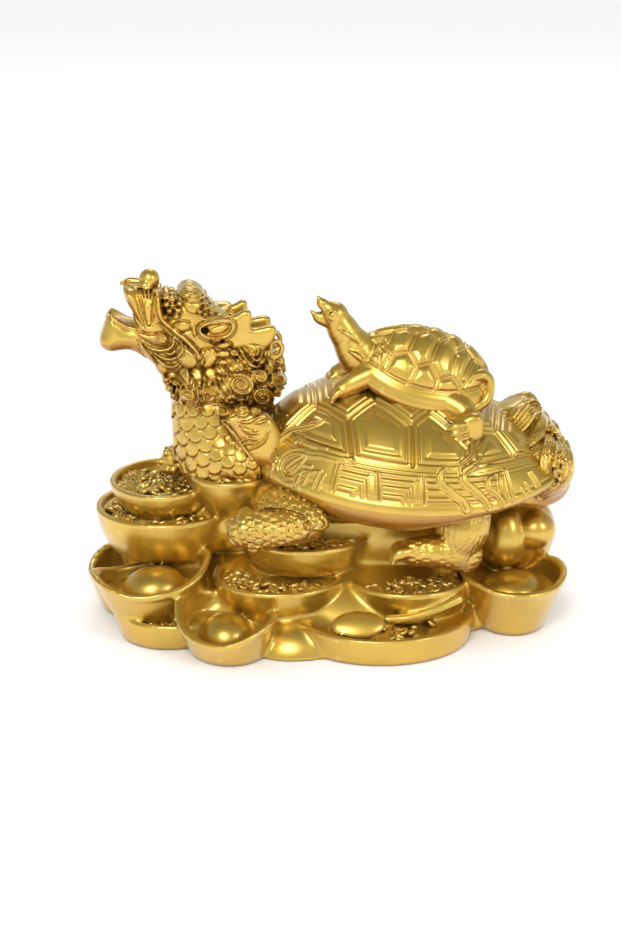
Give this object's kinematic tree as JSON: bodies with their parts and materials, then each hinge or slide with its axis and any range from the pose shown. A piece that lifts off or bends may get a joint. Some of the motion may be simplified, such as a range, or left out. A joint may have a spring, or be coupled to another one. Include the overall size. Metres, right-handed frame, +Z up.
{
  "type": "dragon turtle figure",
  "caption": "Small figure of a dragon with a turtle's shell that stands on a pile of boat-shaped ingots and dishes of coins, with a little turtle on its back.",
  "frame": {"origin": "on the ground, under the middle of the figure's box", "axes": "+Z up, -X towards the dragon's head, -Y towards the side that the picture shows"},
  "size_m": [0.0798, 0.0506, 0.0581],
  "materials": {
    "gold_paint": "cast resin with a semi-gloss metallic gold paint, darker in its recesses and brighter on its ridges"
  },
  "bodies": {
    "root": {"dragon_turtle": "gold_paint"}
  },
  "joints": []
}
